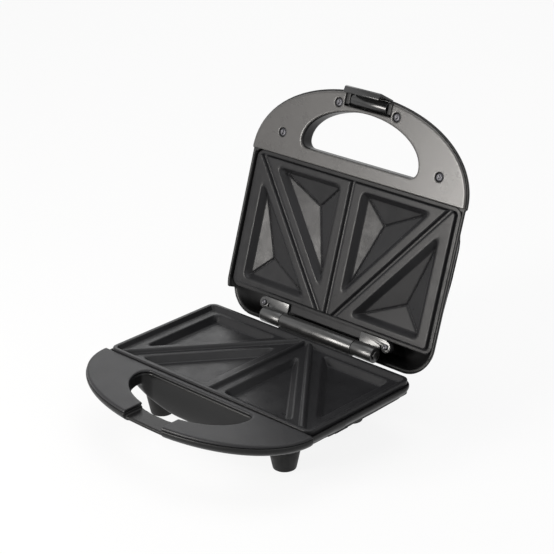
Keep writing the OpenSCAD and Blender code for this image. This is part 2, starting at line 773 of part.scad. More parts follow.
module hinge_bracket()
    color(steel) on_base() {
        near = base_rear_y + seat_gap;
        far = near + bracket_t;
        difference() {
            union() {
                rod_x(-middle_barrel_half, middle_barrel_half, hinge_y, hinge_z, barrel_r);
                bar_x(-middle_barrel_half, middle_barrel_half, [
                    [near, -5], [near, -bracket_drop], [far, -bracket_drop], [far, -8.5],
                    [hinge_y + 2, hinge_z - barrel_r + 0.4], [hinge_y, hinge_z],
                    [hinge_y - 5, hinge_z - 3.5]]);
                for (s = [-1, 1]) bar_x(s * 20 - 6, s * 20 + 6, [
                    [far - 0.5, stop_z(far)], [far - 0.5, -19], [lid_rear_y + stop_reach, -16],
                    [lid_rear_y + stop_reach, stop_z(lid_rear_y + stop_reach)]]);
            }
            rod_x(-through, through, hinge_y, hinge_z, hinge_pin_r + hinge_play);
            for (s = [-1, 1]) rod_y(plate_d, far + 20, s * bracket_screw_x,
                -bracket_screw_drop, screw_r + screw_play);
        }
    }

module hinge_bracket_screws()
    color(steel) on_base() for (s = [-1, 1])
        translate([s * bracket_screw_x, 0, -bracket_screw_drop]) rotate([-90, 0, 0])
            screw([0, 0], screw_r, base_rear_y - 8.5, base_rear_y + seat_gap + bracket_t, 1.8);

module hinge_pin()
    color(steel) on_base() {
        end = outer_barrel_to + 0.4;
        rod_x(-end, end, hinge_y, hinge_z, hinge_pin_r);
        for (s = [-1, 1]) rod_x(s > 0 ? end : -end - 1.2, s > 0 ? end + 1.2 : -end,
            hinge_y, hinge_z, hinge_pin_r + 1.4);
    }

// Lid half of the hinge: barrel, tab across the plate's flange and a round screw ear
module knuckle() {
    tab_y = plate_d - 0.5;
    difference() {
        union() {
            rod_x(outer_barrel_from, outer_barrel_to, hinge_y, hinge_z, barrel_r);
            box([outer_barrel_from, tab_y, tab_face], [outer_barrel_to, hinge_y,
                tab_face + tab_t]);
            box([outer_barrel_to - 1, tab_y, tab_face], [ear_x, ear_y, tab_face + tab_t]);
            tube([ear_x, ear_y], ear_r, tab_face, tab_face + tab_t);
        }
        rod_x(0, through * 2, hinge_y, hinge_z, hinge_pin_r + hinge_play);
        tube([ear_x, ear_y], small_screw_r + screw_play, 0, through);
    }
}

module hinge_knuckle_left() color(steel) on_lid() mirror([1, 0, 0]) knuckle();
module hinge_knuckle_right() color(steel) on_lid() knuckle();
module hinge_knuckle_screws()
    color(steel) on_lid() for (s = [-1, 1])
        screw([s * ear_x, ear_y], small_screw_r, flange_face + flange_t + 0.8, tab_face, 1.4);

// ---------------------------------------------------------------- inside the base

module cord_gland()
    color(black_plastic) on_base() difference() {
        union() {
            rod_y(base_rear_y + seat_gap, base_rear_y + 3.2, gland_x, -gland_drop,
                gland_neck_r + 1.8);
            rod_y(base_rear_y - casing_t - 0.2, base_rear_y + 0.5, gland_x, -gland_drop,
                gland_neck_r);
            rod_y(base_rear_y - casing_t - 2, base_rear_y - casing_t - seat_gap, gland_x,
                -gland_drop, gland_neck_r + 0.2);
        }
        rod_y(plate_d - 9, base_rear_y + 9, gland_x, -gland_drop, cord_bore_r);
    }

module cord_clamp()
    color(black_plastic) down() difference() {
        box([gland_x - 13, clamp_bar_y - 3, clamp_bar_drop - 2.1],
            [gland_x + 13, clamp_bar_y + 3, clamp_bar_drop]);
        for (s = [-1, 1]) tube([gland_x + s * 9, clamp_bar_y], small_screw_r + screw_play,
            0, through);
    }

module cord_clamp_screws()
    color(steel) down() for (s = [-1, 1])
        screw([gland_x + s * 9, clamp_bar_y], small_screw_r, clamp_bar_drop + 7,
            clamp_bar_drop - 2.1, 1.4);

module terminal_block()
    color(bright_sheet) down() difference() {
        box([block_at[0] - 14, block_at[1] - block_half_d, block_drop],
            [block_at[0] + 14, block_at[1] + block_half_d,
                block_seat - seat_gap]);
        tube(block_at, small_screw_r + screw_play, 0, through);
        tube(block_at, small_screw_r * 1.85 + 0.3, 0, block_drop + 2.4);
        for (s = [-1, 1]) {
            tube([block_at[0] + s * 8, block_at[1]], 1.6, 0, block_drop + 3);
            rod_y(block_at[1] - 9, block_at[1] + 9, block_at[0] + s * 8, block_drop + 3.2, 1.5);
        }
    }

module terminal_block_screw()
    color(steel) down()
        screw(block_at, small_screw_r, base_depth - 2.6, block_drop + 2.4, 1.4);

module thermostat()
    color(steel) down() {
        seat = base_back + seat_gap;
        tube([0, plate_d / 2], 7.2, seat, seat + 4.5);
        tube([0, plate_d / 2], 5, seat + 4.4, seat + 7);
        for (s = [-1, 1]) box([s * 3.2 - 0.4, plate_d / 2 - 3.1, seat + 6.9],
            [s * 3.2 + 0.4, plate_d / 2 + 3.1, seat + 13]);
    }

module thermal_fuse()
    color(steel) down() {
        depth = base_back + seat_gap + 2.2;
        rod_y(plate_d / 2 + 12, plate_d / 2 + 22, 0, depth, 2.2);
        rod_y(plate_d / 2 + 8.4, plate_d / 2 + 26, 0, depth, 0.6);
    }

// ---------------------------------------------------------------- lid

module lid_solid(wall)
    casing(lid_grip_profile, lid_body_profile, wall, lid_rear_y, lid_corners);

module lid_shell()
    color(black_plastic) on_lid() {
        difference() {
            union() {
                difference() {
                    lid_solid(0);
                    lid_solid(casing_t);
                }
                intersection() {
                    lid_solid(0);
                    lid_inner_solids();
                }
                latch_ears(lid_cover_face + 0.6, lid_rim_rise + 2);
            }
            prism(hole_outline(lid_hole, 0), -through, through);
            prism(plate_outline(-cover_gap), -1, lid_back + 0.4);
            box([-lid_half_w - 9, plate_d + 3, -9], [lid_half_w + 9, lid_rear_y + 9,
                lid_rear_rim]);
            box([-latch_half_w - 1, -90, -1], [latch_half_w + 1, -latch_pin_y + 2, through]);
            box([-latch_half_w - 1, -90, -1], [latch_half_w + 1, -latch_pin_y + 5.8, 12]);
            post_boss_holes(lid_face);
            for (p = grip_screws) tube(p, screw_r + 0.03, 0, lid_grip_depth - 3);
            rod_x(-latch_ear_to - 1, latch_ear_to + 1, -latch_pin_y, latch_pin_z,
                latch_pin_r + 0.03);
            for (s = [-1, 1]) {
                tube([s * lens_x, lamp_y], lens_r + 0.1, 0, through);
                tube([s * holder_screw_x, lamp_y], small_screw_r + 0.03, 0,
                    lid_depth - 1.2);
            }
        }
    }

// Ears on both sides of the latch that hold its pin
module latch_ears(from, to)
    both_sides() box([latch_ear_from, -latch_pin_y - 5, from],
        [latch_ear_to, -latch_pin_y + 4.5, to]);

module lid_inner_solids() {
    latch_ears(lid_rim_rise, through);
    prism(hole_outline(lid_hole, casing_t), lid_rim_rise + 1 + seat_gap, through);
    post_bosses(lid_face);
    for (p = grip_screws) tube(p, screw_r + 1.9, lid_rim_rise + 1 + seat_gap, through);
    for (s = [-1, 1]) tube([s * holder_screw_x, lamp_y], 3, holder_back + 1.8 + seat_gap,
        through);
}

module lid_handle_cover()
    color(grip_grey) on_lid() difference() {
        grip_cover(lid_half_w, lid_hole, lid_cover_face, lid_rim_rise, 1.5, lid_cover_lap);
        box([-latch_ear_to - cover_gap, -90, -9], [latch_ear_to + cover_gap,
            -latch_pin_y + 5.9, through]);
        for (p = grip_screws) {
            tube(p, screw_r + screw_play, 0, through);
            tube(p, screw_r * 1.85 + 0.4, 0, lid_cover_face + 1.3);
        }
    }

module lid_plate()
    color(cast_black) on_lid() difference() {
        union() {
            prism(plate_outline(0), flange_face, lid_back);
            loft([raise(plate_outline(shoulder_w + 0.5), lid_face),
                raise(plate_outline(shoulder_w), lid_face + 0.5),
                raise(plate_outline(shoulder_w), flange_face + 0.5)]);
            difference() {
                prism(plate_outline(8), lid_back - 0.5, lid_face + side_post - 0.5);
                prism(plate_outline(8 + plate_t), lid_back - 1, through);
            }
            plate_back(lid_face, lid_back);
            box([-ear_x, plate_d - 2, flange_face], [ear_x, hinge_y - barrel_r - 0.4,
                flange_face + flange_t]);
            both_sides() {
                box([outer_barrel_to + 0.9, plate_d - 2, flange_face],
                    [ear_x, ear_y, flange_face + flange_t]);
                tube([ear_x, ear_y], ear_r, flange_face, flange_face + flange_t);
            }
        }
        plate_hollows(lid_face);
        divider_groove([0, 3], [0, plate_d - 2.5]);
        both_sides() {
            divider_groove(divider_front, divider_rear);
            tube([ear_x, ear_y], small_screw_r + 0.03, 0, through);
        }
    }

// Groove in the upper plate over a divider bar
module divider_groove(p, q)
    loft([raise(stadium(p, q, divider_w / 2 + 0.4), lid_face - 0.1),
        raise(stadium(p, q, divider_w / 2), lid_face + 0.4),
        raise(stadium(p, q, divider_w / 2 - 0.8), lid_face + 2.5)]);

module lid_element() color(steel) on_lid() heating_loop(lid_face);
module lid_reflector() color(bright_sheet) on_lid() reflector(lid_face);
module lid_element_clamps() color(steel) on_lid() element_clamps(lid_face);
module lid_clamp_screws() color(steel) on_lid() clamp_screws(lid_face);
module lid_plate_screws() color(steel) on_lid() plate_screws(lid_face);

module lid_handle_screws()
    color(steel) on_lid() for (p = grip_screws)
        screw(p, screw_r, lid_rim_rise + 8, lid_cover_face + 1.3, 1.2);

module lens(x)
    on_lid() difference() {
        translate([x, lamp_y, lid_depth - casing_t - 1.6]) rotate_extrude() polygon([
            [0, 0], [lens_r + 1.3, 0], [lens_r + 1.3, 1.5], [lens_r, 1.5],
            [lens_r, casing_t + 1.9], [lens_r - 0.9, casing_t + 2.5], [0, casing_t + 2.8]]);
        tube([x, lamp_y], lens_r - 1, 0, lid_depth - 0.6);
    }

module power_lens() color([0.8, 0.12, 0.1]) lens(-lens_x);
module ready_lens() color([0.15, 0.6, 0.2]) lens(lens_x);

module neon_lamps()
    color([0.95, 0.75, 0.6]) on_lid() for (s = [-1, 1])
        tube([s * lens_x, lamp_y], 2.2, holder_back + 1.8 + seat_gap, lid_depth - 1.5);

module lamp_holder()
    color(bright_sheet) on_lid() difference() {
        box([-holder_screw_x - 4, lamp_y - 4, holder_back],
            [holder_screw_x + 4, lamp_y + 4, holder_back + 1.8]);
        for (s = [-1, 1]) {
            tube([s * holder_screw_x, lamp_y], small_screw_r + screw_play, 0, through);
            tube([s * lens_x, lamp_y], 1, 0, through);
        }
    }

module lamp_holder_screws()
    color(steel) on_lid() for (s = [-1, 1])
        screw([s * holder_screw_x, lamp_y], small_screw_r, holder_back + 7, holder_back, 1.4);

// ---------------------------------------------------------------- latch

module latch_pin()
    color(steel) on_lid() rod_x(-latch_ear_to + 0.1, latch_ear_to - 0.1, -latch_pin_y,
        latch_pin_z, latch_pin_r);

module latch()
    color(black_plastic) on_latch() difference() {
        union() {
            rod_x(-latch_half_w, latch_half_w, 0, 0, latch_barrel_r);
            bar_x(-latch_half_w, latch_half_w, [
                [0, 2], [0, -2], [latch_t - latch_reach, -2],
                [latch_t - latch_reach, 2 - latch_drop], [latch_lip - latch_reach, 2 - latch_drop],
                [latch_lip - latch_reach, 0.4 - latch_drop],
                [latch_lip - latch_reach - 0.6, -latch_drop],
                [1.2 - latch_reach, -latch_drop], [-latch_reach, 1.2 - latch_drop],
                [-latch_reach, 0.8], [1.2 - latch_reach, 2]]);
        }
        rod_x(-through, through, 0, 0, latch_pin_r + 0.05);
    }

base_shell();
base_handle_cover();
base_plate();
base_element();
base_reflector();
base_element_clamps();
base_clamp_screws();
base_plate_screws();
base_handle_screws();
foot_front_left();
foot_front_right();
foot_rear_left();
foot_rear_right();
hinge_bracket();
hinge_bracket_screws();
hinge_pin();
cord_gland();
cord_clamp();
cord_clamp_screws();
terminal_block();
terminal_block_screw();
thermostat();
thermal_fuse();
lid_shell();
lid_handle_cover();
lid_plate();
lid_element();
lid_reflector();
lid_element_clamps();
lid_clamp_screws();
lid_plate_screws();
lid_handle_screws();
hinge_knuckle_left();
hinge_knuckle_right();
hinge_knuckle_screws();
power_lens();
ready_lens();
neon_lamps();
lamp_holder();
lamp_holder_screws();
latch_pin();
latch();
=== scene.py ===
import json
import math
from collections import namedtuple

import bmesh
import bpy
import numpy as np
from mathutils import Matrix, Vector


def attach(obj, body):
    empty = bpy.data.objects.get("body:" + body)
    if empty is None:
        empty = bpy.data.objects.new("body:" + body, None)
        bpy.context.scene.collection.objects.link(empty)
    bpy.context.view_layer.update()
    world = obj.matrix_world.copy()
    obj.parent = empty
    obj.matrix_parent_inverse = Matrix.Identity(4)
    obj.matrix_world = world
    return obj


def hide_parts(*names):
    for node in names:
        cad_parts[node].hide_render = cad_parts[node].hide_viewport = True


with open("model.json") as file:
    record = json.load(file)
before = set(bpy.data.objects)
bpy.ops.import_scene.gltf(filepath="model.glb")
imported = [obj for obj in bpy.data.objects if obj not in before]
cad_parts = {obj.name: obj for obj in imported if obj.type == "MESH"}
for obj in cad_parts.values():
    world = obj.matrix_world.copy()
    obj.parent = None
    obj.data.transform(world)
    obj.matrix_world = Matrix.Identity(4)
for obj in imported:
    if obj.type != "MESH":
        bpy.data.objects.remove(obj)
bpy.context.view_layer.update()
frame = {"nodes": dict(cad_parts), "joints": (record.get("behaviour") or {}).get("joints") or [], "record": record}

# ------------------------------------------------------------------ places
# Sizes are in millimetres on the closed toaster, as in the solids: X across, Y from the
# front edge of the plates, Z from the parting plane.
PLATE_W, PLATE_D, PLATE_CORNER = 218.0, 120.0, 7.0
HINGE_Y, HINGE_Z, LID_OPEN = 133.5, -0.55, math.radians(107.5)
PART_HEIGHT = 52.0
JOINTS = {j["name"]: j for j in frame["joints"]}
MID_Y = HINGE_Y - 1000 * JOINTS["lid_hinge"]["pos_m"][1]

BASE_AT = Matrix.Translation((0, -MID_Y / 1000, PART_HEIGHT / 1000)) @ Matrix.Scale(0.001, 4)
DOWN_AT = BASE_AT @ Matrix.Diagonal((1, 1, -1, 1))
LID_AT = (BASE_AT @ Matrix.Translation((0, HINGE_Y, HINGE_Z))
          @ Matrix.Rotation(-LID_OPEN, 4, "X") @ Matrix.Translation((0, -HINGE_Y, -HINGE_Z)))

SLOT_OF = {s["node"]: s["material_slot"] for s in frame["record"]["subparts"]}
BODY_OF = {n: b for b, ns in frame["record"]["behaviour"]["bodies"].items() for n in ns}


# ------------------------------------------------------------------ materials
class Shade:
    """Small helper that writes a node material step by step."""

    def __init__(self, name, base, rough, metallic=0.0, specular=0.5, coat=0.0,
                 coat_rough=0.1):
        self.mat = bpy.data.materials.new(name)
        self.mat.use_nodes = True
        self.tree = self.mat.node_tree
        self.bsdf = next(n for n in self.tree.nodes if n.type == "BSDF_PRINCIPLED")
        self.set(self.bsdf, "Base Color", (*base, 1))
        self.set(self.bsdf, "Roughness", rough)
        self.set(self.bsdf, "Metallic", metallic)
        self.set(self.bsdf, "Specular IOR Level", specular)
        self.set(self.bsdf, "Coat Weight", coat)
        self.set(self.bsdf, "Coat Roughness", coat_rough)
        self.coord = self.node("ShaderNodeTexCoord")
        self.last_normal = None

    def set(self, node, socket, value):
        node.inputs[socket].default_value = value

    def node(self, kind, **props):
        n = self.tree.nodes.new(kind)
        for k, v in props.items():
            setattr(n, k, v)
        return n

    def link(self, a, b):
        self.tree.links.new(a, b)

    def noise(self, scale, detail=2.0, rough=0.5, stretch=None):
        n = self.node("ShaderNodeTexNoise")
        self.set(n, "Scale", scale)
        self.set(n, "Detail", detail)
        self.set(n, "Roughness", rough)
        source = self.coord.outputs["Object"]
        if stretch:
            m = self.node("ShaderNodeMapping")
            self.set(m, "Scale", stretch)
            self.link(source, m.inputs["Vector"])
            source = m.outputs["Vector"]
        self.link(source, n.inputs["Vector"])
        return n.outputs["Fac"]

    def cells(self, scale):
        n = self.node("ShaderNodeTexVoronoi", feature="F1")
        self.set(n, "Scale", scale)
        self.link(self.coord.outputs["Object"], n.inputs["Vector"])
        return n.outputs["Distance"]

    def ramp(self, fac, stops):
        n = self.node("ShaderNodeValToRGB")
        n.color_ramp.elements[0].position = stops[0][0]
        n.color_ramp.elements[0].color = (*stops[0][1], 1)
        n.color_ramp.elements[1].position = stops[-1][0]
        n.color_ramp.elements[1].color = (*stops[-1][1], 1)
        for pos, col in stops[1:-1]:
            e = n.color_ramp.elements.new(pos)
            e.color = (*col, 1)
        self.link(fac, n.inputs["Fac"])
        return n.outputs["Color"]

    def spread(self, fac, low, high):
        """Takes the middle of a noise, 0.3 to 0.7, to the range from low to high."""
        n = self.node("ShaderNodeMapRange")
        for k, v in (("From Min", 0.3), ("From Max", 0.7), ("To Min", low), ("To Max", high)):
            self.set(n, k, v)
        self.link(fac, n.inputs["Value"])
        return n.outputs["Result"]

    def colour(self, out):
        self.link(out, self.bsdf.inputs["Base Color"])

    def roughness(self, out):
        self.link(out, self.bsdf.inputs["Roughness"])

    def bump(self, height, distance, strength=1.0):
        n = self.node("ShaderNodeBump")
        self.set(n, "Strength", strength)
        self.set(n, "Distance", distance)
        self.link(height, n.inputs["Height"])
        if self.last_normal is not None:
            self.link(self.last_normal, n.inputs["Normal"])
        self.last_normal = n.outputs["Normal"]
        self.link(self.last_normal, self.bsdf.inputs["Normal"])


def grey(v, tint=(1, 1, 1)):
    return tuple(v * t for t in tint)


def moulded(name, level, rough, grain=2600, depth=0.00003, tint=(1, 1, 1.03), specular=0.5):
    """Injection-moulded plastic: spark-eroded grain, faint flow shading, handled gloss."""
    s = Shade(name, grey(level, tint), rough, specular=specular)
    flow = s.noise(9, 3, 0.55)
    s.colour(s.ramp(flow, [(0.3, grey(level * 0.92, tint)), (0.55, grey(level, tint)),
                           (0.75, grey(level * 1.1, tint))]))
    s.roughness(s.spread(s.noise(38, 4, 0.6), rough - 0.02, rough + 0.03))
    s.bump(s.cells(grain), depth, 0.5)
    s.bump(s.noise(grain * 0.6, 3, 0.6), depth * 0.8, 0.5)
    return s.mat


def coated(name, level, rough, tint):
    """Sprayed non-stick coating on a casting: fine orange peel, speckle and soft marks."""
    s = Shade(name, grey(level, tint), rough, specular=0.16, coat=0.02, coat_rough=0.22)
    tone = s.noise(14, 4, 0.6)
    s.colour(s.ramp(tone, [(0.3, grey(level * 0.86, tint)), (0.5, grey(level, tint)),
                           (0.72, grey(level * 1.16, tint))]))
    s.roughness(s.spread(s.noise(70, 5, 0.65), rough - 0.06, rough + 0.09))
    s.bump(s.noise(1700, 3, 0.6), 0.00004, 0.55)
    s.bump(s.noise(320, 2, 0.5), 0.00005, 0.35)
    return s.mat


def metal(name, base, rough, stretch=(1, 1, 1), scale=900):
    """Metal with drawn lines along one axis and uneven polish."""
    s = Shade(name, base, rough, metallic=1.0)
    tone = s.noise(30, 4, 0.6)
    s.colour(s.ramp(tone, [(0.3, tuple(c * 0.82 for c in base)), (0.55, base),
                           (0.75, tuple(min(c * 1.12, 1) for c in base))]))
    lines = s.noise(scale, 3, 0.6, stretch)
    s.roughness(s.spread(lines, rough - 0.07, rough + 0.1))
    s.bump(lines, 0.00002, 0.5)
    return s.mat


def enamel(name, level, rough):
    """Thin black enamel over steel, slightly lumpy, worn a little where it is thin."""
    s = Shade(name, grey(level), rough, specular=0.5, coat=0.35, coat_rough=0.18)
    tone = s.noise(45, 4, 0.6)
    s.colour(s.ramp(tone, [(0.3, grey(level * 0.8)), (0.6, grey(level)),
                           (0.8, grey(level * 1.35))]))
    s.roughness(s.spread(s.noise(120, 4, 0.6), rough - 0.06, rough + 0.1))
    s.bump(s.noise(800, 3, 0.55), 0.00004, 0.5)
    return s.mat


def rubbery(name, level):
    """Matt rubber with a fine pore and paler patches where it is rubbed."""
    s = Shade(name, grey(level), 0.55, specular=0.25)
    tone = s.noise(60, 4, 0.6)
    s.colour(s.ramp(tone, [(0.3, grey(level * 0.85)), (0.6, grey(level)),
                           (0.8, grey(level * 1.5))]))
    s.roughness(s.spread(s.noise(150, 3, 0.6), 0.42, 0.66))
    s.bump(s.noise(2200, 3, 0.6), 0.00005, 0.6)
    return s.mat


def tinted(name, base):
    """Clear tinted plastic or glass."""
    s = Shade(name, base, 0.12, specular=0.5, coat=0.6, coat_rough=0.05)
    s.set(s.bsdf, "Transmission Weight", 0.55)
    s.set(s.bsdf, "IOR", 1.49)
    s.colour(s.ramp(s.noise(220, 3, 0.5), [(0.35, tuple(c * 0.8 for c in base)), (0.65, base)]))
    s.roughness(s.spread(s.noise(160, 3, 0.6), 0.08, 0.2))
    s.bump(s.noise(500, 2, 0.5), 0.00002, 0.3)
    return s.mat


def ceramic(name, base):
    """Unglazed ceramic with a sandy skin."""
    s = Shade(name, base, 0.6, specular=0.4)
    s.colour(s.ramp(s.noise(120, 4, 0.6), [(0.3, tuple(c * 0.85 for c in base)), (0.7, base)]))
    s.roughness(s.spread(s.noise(200, 3, 0.6), 0.5, 0.75))
    s.bump(s.noise(1400, 3, 0.6), 0.00006, 0.6)
    return s.mat


M = {
    "casing_plastic": moulded("casing_plastic", 0.006, 0.36, specular=0.22),
    "base_cover_plastic": moulded("base_cover_plastic", 0.012, 0.4, tint=(1, 1, 1.1),
                                  specular=0.25),
    "lid_cover_plastic": moulded("lid_cover_plastic", 0.045, 0.28, tint=(1.05, 1.0, 0.96),
                                 specular=0.55),
    "latch_plastic": moulded("latch_plastic", 0.01, 0.2, depth=0.00001, specular=0.5),
    "foot_rubber": rubbery("foot_rubber", 0.005),
    "plate_coating": coated("plate_coating", 0.014, 0.32, (1, 1, 1.08)),
    "bright_sheet": metal("bright_sheet", (0.72, 0.72, 0.74), 0.25, (1, 18, 1)),
    "heater_steel": metal("heater_steel", (0.28, 0.25, 0.22), 0.42, (1, 6, 6)),
    "hinge_steel": enamel("hinge_steel", 0.018, 0.3),
    "screw_steel": metal("screw_steel", (0.06, 0.06, 0.065), 0.36, (1, 1, 1), 1600),
    "inner_steel": metal("inner_steel", (0.62, 0.62, 0.64), 0.3, (1, 1, 9)),
    "red_lens": tinted("red_lens", (0.55, 0.02, 0.012)),
    "green_lens": tinted("green_lens", (0.02, 0.32, 0.06)),
    "lamp_glass": tinted("lamp_glass", (0.85, 0.7, 0.6)),
    "ceramic_block": ceramic("ceramic_block", (0.72, 0.7, 0.64)),
}


def paint(obj, key):
    obj.data.materials.clear()
    obj.data.materials.append(M[key])


for node_name, node_obj in frame["nodes"].items():
    paint(node_obj, SLOT_OF[node_name])


# ------------------------------------------------------------------ mesh helpers
# Small pieces: the round of their edges, the angle from which an edge gets it, and the
# angle up to which two faces are shaded as one (degrees)
EDGE_ROUND, EDGE_ANGLE, SMOOTH_ANGLE = 0.35, 32, 38


def finish_piece(obj, node, key=None):
    """Material, body and slot of a piece, and the solid that it stands for."""
    paint(obj, key or SLOT_OF[node])
    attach(obj, BODY_OF[node])
    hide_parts(node)


def add_object(name, mesh):
    obj = bpy.data.objects.new(name, mesh)
    bpy.context.scene.collection.objects.link(obj)
    return obj


def round_edges(obj, width, angle):
    """Rounds the edges that are sharper than an angle, and keeps the result as a mesh."""
    m = obj.modifiers.new("edge", "BEVEL")
    m.width = width / 1000
    m.segments = 2
    m.limit_method = "ANGLE"
    m.angle_limit = math.radians(angle)
    m.use_clamp_overlap = True
    dg = bpy.context.evaluated_depsgraph_get()
    new = bpy.data.meshes.new_from_object(obj.evaluated_get(dg))
    old = obj.data
    obj.modifiers.clear()
    obj.data = new
    bpy.data.meshes.remove(old)


def smooth(obj, angle):
    for p in obj.data.polygons:
        p.use_smooth = True
    obj.data.set_sharp_from_angle(angle=math.radians(angle))


def dress(node, key=None):
    """A finer piece for a small solid: clean faces, rounded edges, smooth shading."""
    me = frame["nodes"][node].data.copy()
    bm = bmesh.new()
    bm.from_mesh(me)
    bmesh.ops.remove_doubles(bm, verts=bm.verts, dist=2e-6)
    bmesh.ops.dissolve_limit(bm, angle_limit=math.radians(0.6), verts=bm.verts,
                             edges=bm.edges)
    bmesh.ops.recalc_face_normals(bm, faces=bm.faces)
    bm.to_mesh(me)
    bm.free()
    obj = add_object(node + "_piece", me)
    round_edges(obj, EDGE_ROUND, EDGE_ANGLE)
    smooth(obj, SMOOTH_ANGLE)
    finish_piece(obj, node, key)


# ------------------------------------------------------------------ camera and light
# The camera stands where the photo's camera stood. Its focal length is in photo pixels.
PHOTO_SIZE, CAM_F, SENSOR = 554, 1746.13, 36
CAM_AZ, CAM_EL, CAM_ROLL = math.radians(42.904), math.radians(23.277), math.radians(-0.33)
CAM_DIST = 1.55338
TARGET = Vector((-0.10549, (197.25 - MID_Y) / 1000, PART_HEIGHT / 1000))


def add_camera():
    back = Vector((math.sin(CAM_AZ) * math.cos(CAM_EL), -math.cos(CAM_AZ) * math.cos(CAM_EL),
                   math.sin(CAM_EL)))
    level = Vector((math.cos(CAM_AZ), math.sin(CAM_AZ), 0))
    upright = back.cross(level)
    right = level * math.cos(CAM_ROLL) + upright * math.sin(CAM_ROLL)
    up = upright * math.cos(CAM_ROLL) - level * math.sin(CAM_ROLL)
    data = bpy.data.cameras.new("camera")
    cam = add_object("camera", data)
    turn = Matrix((right, up, back)).transposed().to_4x4()
    cam.matrix_world = Matrix.Translation(TARGET + back * CAM_DIST) @ turn
    data.sensor_width = SENSOR
    data.lens = CAM_F / PHOTO_SIZE * SENSOR
    data.clip_start = 0.05
    data.clip_end = 20
    bpy.context.scene.camera = cam


def area_light(name, where, aim, size, power, colour=(1, 1, 1)):
    data = bpy.data.lights.new(name, "AREA")
    data.shape = "RECTANGLE"
    data.size, data.size_y = size
    data.energy = power
    data.color = colour
    obj = add_object(name, data)
    obj.location = where
    obj.rotation_euler = (Vector(aim) - Vector(where)).to_track_quat("-Z", "Y").to_euler()


add_camera()
area_light("key", (1.5, -0.5, 1.5), (0, 0, 0.08), (1.2, 1.0), 7)
area_light("fill", (-1.5, -1.1, 0.9), (0, 0, 0.08), (1.2, 1.0), 1.5)
area_light("sheen", (-0.42, -1.05, 0.4), (0.08, 0.1, 0.18), (0.36, 0.5), 14, (1, 0.97, 0.93))
area_light("top", (-0.1, 0.3, 1.9), (0, 0, 0.05), (1.6, 1.6), 14)
area_light("rim", (-1.1, 1.3, 0.9), (0, 0, 0.1), (1.0, 0.6), 3)


def seen_or_lit(tree, plain, shown):
    """Mixes two shaders: what camera, mirror and glass rays see, and what lights the rest."""
    path = tree.nodes.new("ShaderNodeLightPath")
    total = path.outputs["Is Camera Ray"]
    for out in ("Is Glossy Ray", "Is Transmission Ray"):
        add = tree.nodes.new("ShaderNodeMath")
        add.operation = "ADD"
        add.use_clamp = True
        tree.links.new(total, add.inputs[0])
        tree.links.new(path.outputs[out], add.inputs[1])
        total = add.outputs[0]
    mix = tree.nodes.new("ShaderNodeMixShader")
    tree.links.new(total, mix.inputs["Fac"])
    tree.links.new(plain, mix.inputs[1])
    tree.links.new(shown, mix.inputs[2])
    return mix.outputs[0]


def white_world(lit, shown):
    """World that lights the scene softly and looks white."""
    world = bpy.data.worlds.new("studio")
    bpy.context.scene.world = world
    world.use_nodes = True
    tree = world.node_tree
    tree.nodes.clear()
    outs = []
    for strength in (lit, shown):
        n = tree.nodes.new("ShaderNodeBackground")
        n.inputs["Color"].default_value = (1, 1, 1, 1)
        n.inputs["Strength"].default_value = strength
        outs.append(n.outputs[0])
    end = tree.nodes.new("ShaderNodeOutputWorld")
    tree.links.new(seen_or_lit(tree, *outs), end.inputs["Surface"])


def white_floor(half, glow_share):
    """Pale floor that is mostly its own light where it is seen, so its shadows stay soft."""
    mesh = bpy.data.meshes.new("floor")
    mesh.from_pydata([(-half, -half, 0), (half, -half, 0), (half, half, 0), (-half, half, 0)],
                     [], [(0, 1, 2, 3)])
    mat = bpy.data.materials.new("floor_white")
    mat.use_nodes = True
    tree = mat.node_tree
    tree.nodes.clear()
    matt = tree.nodes.new("ShaderNodeBsdfDiffuse")
    matt.inputs["Color"].default_value = (0.9, 0.9, 0.9, 1)
    glow = tree.nodes.new("ShaderNodeEmission")
    glow.inputs["Color"].default_value = (1, 1, 1, 1)
    glow.inputs["Strength"].default_value = 1.0
    shown = tree.nodes.new("ShaderNodeMixShader")
    shown.inputs["Fac"].default_value = glow_share
    tree.links.new(matt.outputs[0], shown.inputs[1])
    tree.links.new(glow.outputs[0], shown.inputs[2])
    end = tree.nodes.new("ShaderNodeOutputMaterial")
    tree.links.new(seen_or_lit(tree, matt.outputs[0], shown.outputs[0]), end.inputs["Surface"])
    mesh.materials.append(mat)
    return add_object("floor", mesh)


white_world(0.26, 1.0)
floor = white_floor(6, 0.88)
bpy.context.scene.view_settings.view_transform = "Standard"

# ------------------------------------------------------------------ solid fields
# The main pieces are drawn as distance fields (negative inside) on the closed toaster, by
# depth D from the parting plane, and meshed finely, so every edge gets its moulded radius.
# FAR and ABOVE lie outside every piece, for boxes and holes that go right through.
FAR, ABOVE = 99.0, -9.0


def smin(a, b, k):
    """Smaller of two distances, with a round of about k where they meet."""
    h = np.clip(0.5 + 0.5 * (b - a) / k, 0, 1)
    return b + (a - b) * h - k * h * (1 - h)


def smax(a, b, k):
    return -smin(-a, -b, k)


def corner_box(x, y, w, front, rear, f, r):
    """Rounded rectangle, symmetric in X, with its own front and rear corner radii."""
    def half(qy, rad):
        qx = np.abs(x) - w + rad
        qy = qy + rad
        return (np.minimum(np.maximum(qx, qy), 0)
                + np.hypot(np.maximum(qx, 0), np.maximum(qy, 0)) - rad)
    return np.maximum(half(front - y, f), half(y - rear, r))


def box(x, y, d, x0, x1, y0, y1, d0, d1):
    return np.maximum(np.maximum(np.maximum(x0 - x, x - x1), np.maximum(y0 - y, y - y1)),
                      np.maximum(d0 - d, d - d1))


def post(x, y, d, px, py, r, d0, d1):
    return np.maximum(np.hypot(x - px, y - py) - r, np.maximum(d0 - d, d - d1))


def section(at, *points):
    """Height of a cross-section at a place, from its corners as (place, height)."""
    places, heights = zip(*points)
    return np.interp(at, places, heights)


